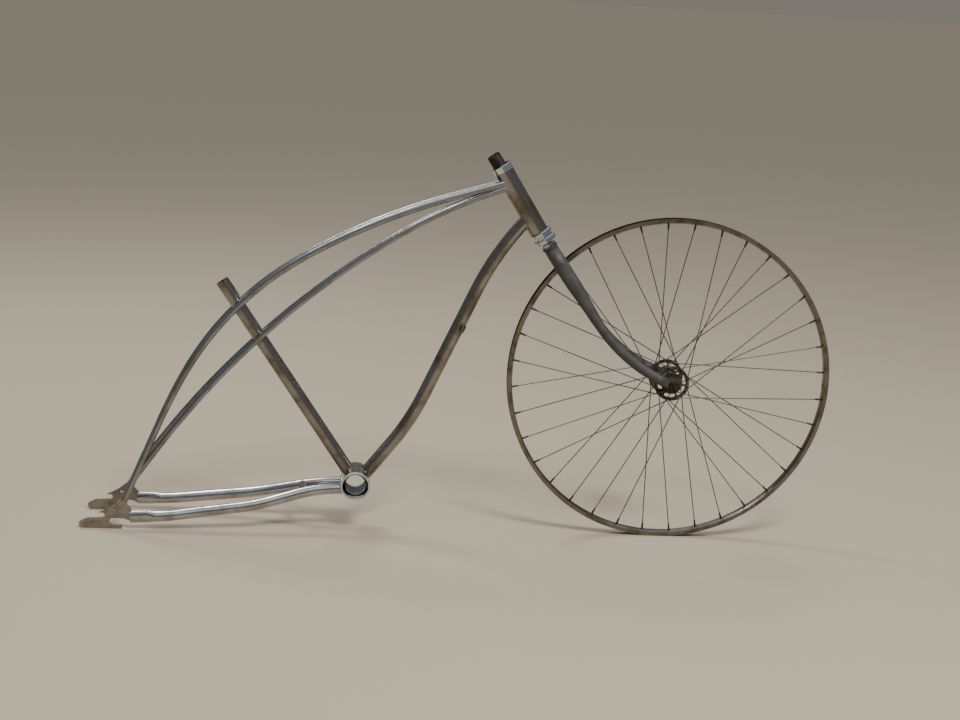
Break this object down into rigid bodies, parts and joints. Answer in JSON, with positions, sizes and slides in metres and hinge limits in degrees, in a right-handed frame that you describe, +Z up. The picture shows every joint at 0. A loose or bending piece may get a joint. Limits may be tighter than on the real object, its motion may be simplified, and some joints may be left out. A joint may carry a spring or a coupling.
{
  "type": "stretched cruiser bicycle frame with fork and wheel",
  "caption": "Bare low-slung bicycle frame of curved twin tubes with a raked head tube, a plain fork and a wire-spoked front wheel with no tyre.",
  "frame": {"origin": "centre of the seat tube's open mouth, where the saddle post enters and the bicycle is held", "axes": "+X forward towards the front wheel, +Y to the rider's left, +Z up, the bicycle standing upright and level"},
  "size_m": [1.4385, 0.138, 0.7439],
  "materials": {
    "frame_chrome": "worn, dulled chrome plate",
    "dropout_steel": "dull plated steel plate",
    "bright_steel": "bright chrome",
    "rusty_steel": "dark rusted steel",
    "fork_paint": "matte grey paint",
    "rim_chrome": "aged chrome",
    "hub_steel": "rust-brown steel",
    "spoke_steel": "dull dark wire"
  },
  "bodies": {
    "frame": {"head_tube": "frame_chrome", "upper_head_cup": "bright_steel", "seat_tube": "frame_chrome", "down_tube": "frame_chrome", "down_tube_boss": "frame_chrome", "bottom_bracket_shell": "frame_chrome", "bottom_bracket_cups": "bright_steel", "upper_tube_right": "frame_chrome", "upper_tube_left": "frame_chrome", "lower_tube_right": "frame_chrome", "lower_tube_left": "frame_chrome", "chainstay_right": "frame_chrome", "chainstay_left": "frame_chrome", "chainstay_bridge": "frame_chrome", "dropouts": "dropout_steel"},
    "fork": {"head_cup": "bright_steel", "steerer": "rusty_steel", "crown_race": "rusty_steel", "fork_crown": "fork_paint", "fork_blade_right": "fork_paint", "fork_blade_left": "fork_paint", "fork_ends": "fork_paint", "front_axle": "rusty_steel", "axle_nuts": "rusty_steel", "axle_cones": "rusty_steel"},
    "wheel": {"rim": "rim_chrome", "hub_shell": "hub_steel", "hub_flanges": "hub_steel", "hub_caps": "hub_steel", "spokes_right": "spoke_steel", "spokes_left": "spoke_steel", "nipples": "spoke_steel"}
  },
  "joints": [
    {"name": "steering", "type": "hinge", "parent": "frame", "child": "fork", "pos_m": [0.5512, 0, 0.18444], "axis": [-0.575, 0, 0.8181], "range_deg": [-85, 85]},
    {"name": "wheel_spin", "type": "hinge", "parent": "fork", "child": "wheel", "pos_m": [0.867, 0, -0.159], "axis": [0, 1, 0], "continuous": true}
  ]
}
